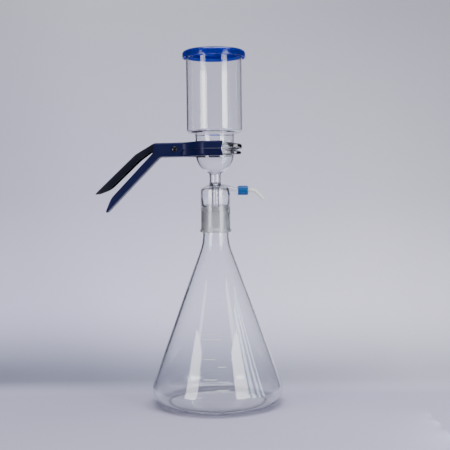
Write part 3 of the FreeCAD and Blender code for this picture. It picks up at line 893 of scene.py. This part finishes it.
def handled(tree, where, scale, clean, marked):
    """Roughness of a surface with finger marks."""
    return use(tree, "handling", where, Patch_Scale=scale, Clean_Roughness=clean,
               Marked_Roughness=marked)["Roughness"]


def varied(tree, where, scale, least, most):
    """Value that drifts between two limits with slow noise."""
    return ramp(tree, noise(tree, where, scale), 0.3, 0.7, least, most)


def bump(tree, shader, height, distance, strength=1.0):
    """Connects a height to the shader's normal."""
    node = add(tree, "ShaderNodeBump", Height=height, Strength=strength, Distance=distance)
    feed(tree, shader.inputs["Normal"], node.outputs["Normal"])


def darker(colour, share):
    """Opaque colour multiplied by a share."""
    return tuple(c * share for c in colour[:3]) + (1,)


def lighter(colour, share, lift):
    """Opaque colour multiplied by a share and lifted, at most white."""
    return tuple(min(c * share + lift, 1) for c in colour[:3]) + (1,)


GLASS_IOR = 1.474


def clear_glass(name, tint, waves=0.00004):
    """Clear borosilicate with slow waves and faint handling marks."""
    made, tree, shader, where = material(name)
    feed_all(tree, shader, Transmission_Weight=1.0, IOR=GLASS_IOR, Metallic=0.0)
    tone = mix_colour(tree, noise(tree, where, 12.0), tint, darker(tint, 0.985))
    feed_all(tree, shader, Base_Color=tone, Roughness=handled(tree, where, 28.0, 0.004, 0.03))
    bump(tree, shader, use(tree, "blown", where, Depth=1.0)["Height"], waves)
    return made


def ground_glass(name, tint, rough):
    """Ground joint: fine pitted grain over rough transmission."""
    made, tree, shader, where = material(name)
    grain = use(tree, "grain", where, Grain_Scale=2600.0, Scratch_Scale=60.0)
    tone = mix_colour(tree, grain["Grain"], tint, darker(tint, 0.93))
    rough = varied(tree, where, 220.0, rough - 0.05, rough + 0.06)
    feed_all(tree, shader, Base_Color=tone, Roughness=rough, Transmission_Weight=0.8,
             IOR=GLASS_IOR, Metallic=0.0)
    bump(tree, shader, grain["Height"], 0.000004, 0.3)
    return made


def sintered():
    """Sintered disc: packed white grains."""
    made, tree, shader, where = material("sintered_glass_grains")
    cells = add(tree, "ShaderNodeTexVoronoi", Vector=where, Scale=2200.0).outputs["Distance"]
    tone = mix_colour(tree, cells, (0.90, 0.90, 0.90, 1), (0.72, 0.73, 0.75, 1))
    feed_all(tree, shader, Base_Color=tone, Roughness=ramp(tree, cells, 0.0, 1.0, 0.5, 0.8))
    bump(tree, shader, cells, 0.0002, 0.6)
    return made


def membrane_paper():
    """Filter membrane: matt, with a felt of fine fibres."""
    made, tree, shader, where = material("membrane_felt")
    felt = noise(tree, where, 3200.0, 5.0, 0.7)
    tone = mix_colour(tree, felt, (0.93, 0.93, 0.92, 1), (0.82, 0.82, 0.81, 1))
    feed_all(tree, shader, Base_Color=tone, Roughness=ramp(tree, felt, 0.3, 0.7, 0.75, 0.95))
    bump(tree, shader, felt, 0.00005, 0.6)
    return made


def blue_lid():
    """Translucent cobalt moulding: absorbs with thickness, faint flow lines from the gate."""
    made, tree, shader, where = material("cobalt_translucent_moulding")
    flow = noise(tree, where, 70.0, 3.0)
    tone = mix_colour(tree, flow, (0.032, 0.085, 0.70, 1), (0.024, 0.065, 0.60, 1))
    feed_all(tree, shader, Transmission_Weight=0.82, IOR=1.49, Metallic=0.0)
    feed_all(tree, shader, Base_Color=tone, Roughness=handled(tree, where, 45.0, 0.09, 0.2))
    bump(tree, shader, flow, 0.00006, 0.5)
    return made


def anodised(name, deep, pale, shine):
    """Anodised sheet: fine blast grain, scratches, and edges worn towards bare metal."""
    made, tree, shader, where = material(name)
    grain = use(tree, "grain", where, Grain_Scale=1700.0, Scratch_Scale=120.0)
    worn = use(tree, "worn", where, Width=0.0004, Amount=0.22)
    tone = mix_colour(tree, ramp(tree, noise(tree, where, 24.0, 4.0), 0.3, 0.7, 0, 1), deep, pale)
    scratched = mix_colour(tree, maths(tree, "MULTIPLY", grain["Scratches"], 0.22), tone,
                           lighter(pale, 3.0, 0.02))
    tone = mix_colour(tree, worn["Mask"], scratched, (0.34, 0.36, 0.44, 1))
    rough = handled(tree, where, 60.0, shine, shine + 0.14)
    feed_all(tree, shader, Base_Color=tone, Roughness=rough, Metallic=0.25, IOR=1.4)
    bump(tree, shader, grain["Height"], 0.000018, 0.5)
    return made


def metal(name, colour, worn_colour, rough, metallic):
    """Turned or drawn steel with fine rings and worn edges."""
    made, tree, shader, where = material(name)
    grain = use(tree, "grain", where, Grain_Scale=2400.0, Scratch_Scale=240.0)
    worn = use(tree, "worn", where, Width=0.0003, Amount=0.6)
    tone = mix_colour(tree, grain["Grain"], colour, darker(colour, 0.8))
    tone = mix_colour(tree, worn["Mask"], tone, worn_colour)
    rough = ramp(tree, grain["Grain"], 0.3, 0.7, rough, rough + 0.1)
    feed_all(tree, shader, Base_Color=tone, Roughness=rough, Metallic=metallic)
    bump(tree, shader, grain["Height"], 0.00002, 0.6)
    return made


def moulded(name, colour, rough, clear, sub=0.0):
    """Moulded polymer: fine spark-eroded texture and slight mottling."""
    made, tree, shader, where = material(name)
    grain = use(tree, "grain", where, Grain_Scale=2000.0, Scratch_Scale=150.0)
    mottle = noise(tree, where, 160.0, 3.0)
    tone = mix_colour(tree, mottle, colour, lighter(colour, 1.25, 0.004))
    feed_all(tree, shader, Base_Color=tone, Metallic=0.0, Transmission_Weight=clear,
             Subsurface_Weight=sub, Subsurface_Scale=0.002,
             Roughness=handled(tree, where, 120.0, rough, rough + 0.15))
    bump(tree, shader, grain["Height"], 0.00003, 0.5)
    return made


def enamel():
    """Fired white enamel line, slightly worn through."""
    made, tree, shader, where = material("graduation_white")
    worn = ramp(tree, noise(tree, where, 700.0, 4.0), 0.3, 0.5, 0.35, 0.62)
    tone = mix_colour(tree, noise(tree, where, 300.0), (0.9, 0.9, 0.92, 1), (0.8, 0.8, 0.83, 1))
    rough = varied(tree, where, 500.0, 0.4, 0.6)
    feed_all(tree, shader, Alpha=worn, Base_Color=tone, Roughness=rough)
    return made


def coat(piece, finish):
    """Gives a piece one material."""
    piece.data.materials.clear()
    piece.data.materials.append(finish)
    return piece


def paint_faces(piece, main, other, chosen):
    """Two materials on one piece: faces picked by an array of flags take the second."""
    coat(piece, main)
    piece.data.materials.append(other)
    piece.data.polygons.foreach_set("material_index", chosen.astype(np.int32))
    piece.data.update()


def face_centres(piece):
    """Centres of a piece's faces, in millimetres."""
    out = np.empty(len(piece.data.polygons) * 3)
    piece.data.polygons.foreach_get("center", out)
    return out.reshape(-1, 3) / MM


def on_side_walls(piece):
    """Flags of the faces on the outside of the clamp's side walls, ahead of the handle."""
    at = face_centres(piece)
    normal = np.empty(len(piece.data.polygons) * 3)
    piece.data.polygons.foreach_get("normal", normal)
    normal = normal.reshape(-1, 3)
    outward = normal[:, 1] * np.sign(at[:, 1]) > 0.45
    return outward & (at[:, 0] > -78.0) & (at[:, 2] > MATING_Z - 8.5)


def on_cone(piece, low_z, high_z, offset):
    """Flags of the faces that lie on the ground cone between two heights."""
    at = face_centres(piece)
    radius = np.hypot(at[:, 0], at[:, 1])
    near = np.abs(radius - cone_at(at[:, 2]) - offset) < 0.25
    return near & (at[:, 2] > low_z) & (at[:, 2] < high_z)


# ---- Build and place the pieces ----

CLEAR = (0.985, 0.99, 1.0, 1)
flask_clear = clear_glass("flask_borosilicate", CLEAR)
head_clear = clear_glass("head_borosilicate", CLEAR, 0.00003)
funnel_clear = clear_glass("funnel_borosilicate", CLEAR, 0.00003)
flask_ground = ground_glass("flask_ground_joint", (0.95, 0.95, 0.95, 1), 0.15)
head_ground = ground_glass("head_ground_socket", (0.97, 0.97, 0.97, 1), 0.36)
steel = metal("blackened_pin_steel", (0.045, 0.045, 0.055, 1), (0.55, 0.55, 0.58, 1), 0.22, 1.0)
wire_steel = metal("drawn_spring_wire", (0.42, 0.42, 0.44, 1), (0.7, 0.7, 0.72, 1), 0.26, 1.0)


def place(piece, body, slot, *replaced):
    """Rides a new piece on its body, standing for the CAD nodes named."""
    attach(piece, body)
    if replaced:
        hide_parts(*replaced)
    return piece


flask = flask_surface()
paint_faces(flask, flask_clear, flask_ground, on_cone(flask, NECK_Z, JOINT_TOP + 0.2, 0.0))
place(flask, "receiver", "flask_glass", "receiver_flask")
place(coat(graduation_marks(), enamel()), "receiver", "flask_glass")

head = filter_head_surface()
paint_faces(head, head_clear, head_ground, on_cone(head, MOUTH_Z, JOINT_TOP, 0.05))
place(head, "head", "head_glass", "filter_head")

place(coat(funnel_surface(), funnel_clear), "head", "funnel_glass", "funnel")
place(coat(lid_surface(), blue_lid()), "lid", "lid_plastic", "funnel_lid")

upper_arm, lower_arm = clamp_arms()
near_black = anodised("anodised_near_black", (0.002, 0.0025, 0.010, 1),
                      (0.003, 0.004, 0.016, 1), 0.4)
dark_blue = anodised("anodised_dark_blue", (0.0012, 0.0030, 0.044, 1),
                     (0.0022, 0.0052, 0.062, 1), 0.44)
paint_faces(upper_arm, near_black, dark_blue, on_side_walls(upper_arm))
coat(lower_arm, dark_blue)
place(upper_arm, "upper_arm", "dark_anodised_aluminium", "clamp_upper_arm")
place(lower_arm, "lower_arm", "blue_anodised_aluminium", "clamp_lower_arm")
place(coat(pin_surface(), steel), "clamp", "pin_steel", "pivot_pin")
place(coat(retainer_surface(), steel), "clamp", "pin_steel", "pin_retainer")
spring = coat(spring_surface(), wire_steel)
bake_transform(spring)
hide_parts("torsion_spring")

place(coat(cap_surface(), moulded("bright_blue_cap", (0.004, 0.086, 0.29, 1), 0.28, 0.0)),
      "cap", "cap_plastic", "connector_cap")
place(coat(barb_surface(), moulded("natural_white_barb", (0.78, 0.77, 0.74, 1), 0.28, 0.0, 0.3)),
      "barb", "barb_plastic", "hose_barb")

coat(nodes["frit_disc"], sintered())
coat(nodes["filter_membrane"], membrane_paper())
coat(nodes["connector_seal"], moulded("pale_silicone", (0.80, 0.79, 0.77, 1), 0.4, 0.15, 0.4))


# ---- Studio: pale sweep, tall strip lights, dark surroundings ----

BAND_NEAR = 0.04
BAND_MIDDLE = 0.15


def sweep_colour_with_painted_shade():
    """Pale lavender-grey paint with painted light and shade: a painted shadow band where the floor
    turns up, weaker to the right, and floor and wall painted at different brightness that changes
    with height and from left to right.
    """
    made, tree, shader, where = material("sweep_colour_and_painted_shade")
    x, y, z = add(tree, "ShaderNodeSeparateXYZ", Vector=where).outputs
    # Painted shadow: a darker band where the floor curves up into the wall, fading up the wall and
    # weaker to the right.
    band = ramp(tree, y, BAND_NEAR, BAND_MIDDLE, 0.0, 1.0, "SMOOTHSTEP")
    past = maths(tree, "ADD", maths(tree, "SUBTRACT", y, BAND_MIDDLE), z)
    beyond = ramp(tree, past, 0.02, 0.34, 1.0, 0.0, "SMOOTHSTEP")
    shade = maths(tree, "MULTIPLY", band, beyond)
    shade = maths(tree, "MULTIPLY", shade, ramp(tree, x, -0.33, 0.30, 1.0, 0.45))
    # Painted light: the wall is painted lighter low down and darker high up, and floor and wall
    # change brightness from left to right.
    rise = ramp(tree, z, 0.02, 0.62, 0.0, 1.0)
    right = ramp(tree, x, -0.25, 0.30, 0.0, 1.0)
    low_wall = mix_colour(tree, right, (0.68, 0.672, 0.93, 1), (0.85, 0.845, 1.0, 1))
    high_wall = mix_colour(tree, right, (0.47, 0.46, 0.56, 1), (0.35, 0.345, 0.43, 1))
    near_floor = mix_colour(tree, right, (0.455, 0.437, 0.60, 1), (0.52, 0.50, 0.70, 1))
    painted_wall_light = mix_colour(tree, rise, low_wall, high_wall)
    floor = mix_colour(tree, ramp(tree, y, BAND_NEAR, BAND_MIDDLE, 0.0, 1.0), near_floor, painted_wall_light)
    tone = mix_colour(tree, shade, floor, (0.20, 0.21, 0.30, 1))
    tone = mix_colour(tree, ramp(tree, noise(tree, where, 0.9, 2.0), 0.3, 0.7, 0, 0.05), tone,
                      (0.8, 0.8, 0.84, 1))
    rough = varied(tree, where, 5.0, 0.7, 0.8)
    feed_all(tree, shader, Base_Color=tone, Roughness=rough)
    return made


def sweep_floor():
    """Floor curving up into a backdrop: profile along Y carried across X."""
    profile = rounded([(-320, 0, 0), (450, 0, 300), (560, 850, 0)], step=3)
    x, y, z = np.broadcast_arrays(np.linspace(-480, 480, 9), profile[:, :1], profile[:, 1:])
    made = grid_object("studio_sweep", np.stack([x, y, z], -1), wrap_columns=False)
    coat(made, sweep_colour_with_painted_shade())


def area_light(name, place_at, aim, size, power, colour=(1, 1, 1)):
    """Rectangular soft light aimed at a point."""
    data = bpy.data.lights.new(name, "AREA")
    data.shape = "RECTANGLE"
    data.size, data.size_y = size
    data.energy = power
    data.color = colour
    made = bpy.data.objects.new(name, data)
    bpy.context.scene.collection.objects.link(made)
    made.location = place_at
    made.rotation_euler = (Vector(aim) - Vector(place_at)).to_track_quat("-Z", "Y").to_euler()
    return made


def black_card(name, near, far, height):
    """Upright dark cloth panel between two floor points, slightly bowed: sag = sin of the share."""
    share = np.linspace(0, 1, 9)[:, None]
    foot = np.array(near) + (np.array(far) - np.array(near)) * share
    foot = foot + np.array([0.006, 0]) * np.sin(np.pi * share)
    x, y, z = np.broadcast_arrays(foot[:, :1], foot[:, 1:], np.linspace(0.002, height, 6))
    made = grid_object(name, np.stack([x, y, z], -1) / MM, wrap_columns=False)
    cloth, tree, shader, where = material(name + "_cloth")
    tone = mix_colour(tree, noise(tree, where, 60.0), (0.012, 0.012, 0.014, 1),
                      (0.02, 0.02, 0.022, 1))
    feed_all(tree, shader, Base_Color=tone, Roughness=0.9)
    coat(made, cloth)
    made.visible_camera = made.visible_shadow = made.visible_diffuse = False


# Narrow lights that show only as reflections: place along Y and width, in metres.
STRIPS = ((-0.205, 0.010), (-0.165, 0.036), (-0.11, 0.020), (-0.07, 0.012))
STRIP_POWER = 6.5  # watts for each metre of width

sweep_floor()
black_card("left_card", (-0.26, -0.16), (-0.20, 0.42), 0.62)
black_card("right_card", (0.29, -0.16), (0.25, 0.42), 0.62)
area_light("left softbox", (-0.80, -0.76, 0.31), (0, 0, 0.24), (0.42, 0.56), 6.6)
area_light("left softbox head", (-0.80, -0.76, 0.68), (0, 0, 0.30), (0.16, 0.16), 0.35)
area_light("right softbox", (0.76, -0.78, 0.31), (0, 0, 0.24), (0.44, 0.56), 7.8)
area_light("right softbox head", (0.76, -0.78, 0.68), (0, 0, 0.30), (0.24, 0.16), 0.5)
for number, (across, width) in enumerate(STRIPS):
    strip = area_light("side strip %d" % number, (0.262, across, 0.13), (0, across, 0.13),
                       (width, 0.26), STRIP_POWER * width, (0.70, 0.83, 1.0))
    strip.visible_camera = strip.visible_diffuse = False
area_light("top", (0.1, -0.15, 1.5), (0, 0.25, 0.1), (1.3, 0.9), 24.0)

world = bpy.data.worlds.new("studio dark")
world.use_nodes = True
feed_all(world.node_tree, world.node_tree.nodes["Background"], Color=(0.30, 0.31, 0.36, 1),
         Strength=0.12)
bpy.context.scene.world = world

CAMERA_AT = (0.012, -1.131, 0.2765)
CAMERA_DOWN = 2.24  # degrees below level
CAMERA_ROLL = -0.65  # degrees
camera_data = bpy.data.cameras.new("view")
camera_data.lens = 69.6
camera_data.sensor_width = 36
camera_data.clip_start = 0.01
camera = bpy.data.objects.new("view", camera_data)
bpy.context.scene.collection.objects.link(camera)
camera.matrix_world = (Matrix.Translation(CAMERA_AT)
                       @ Matrix.Rotation(np.radians(90 - CAMERA_DOWN), 4, "X")
                       @ Matrix.Rotation(np.radians(CAMERA_ROLL), 4, "Z"))
bpy.context.scene.camera = camera
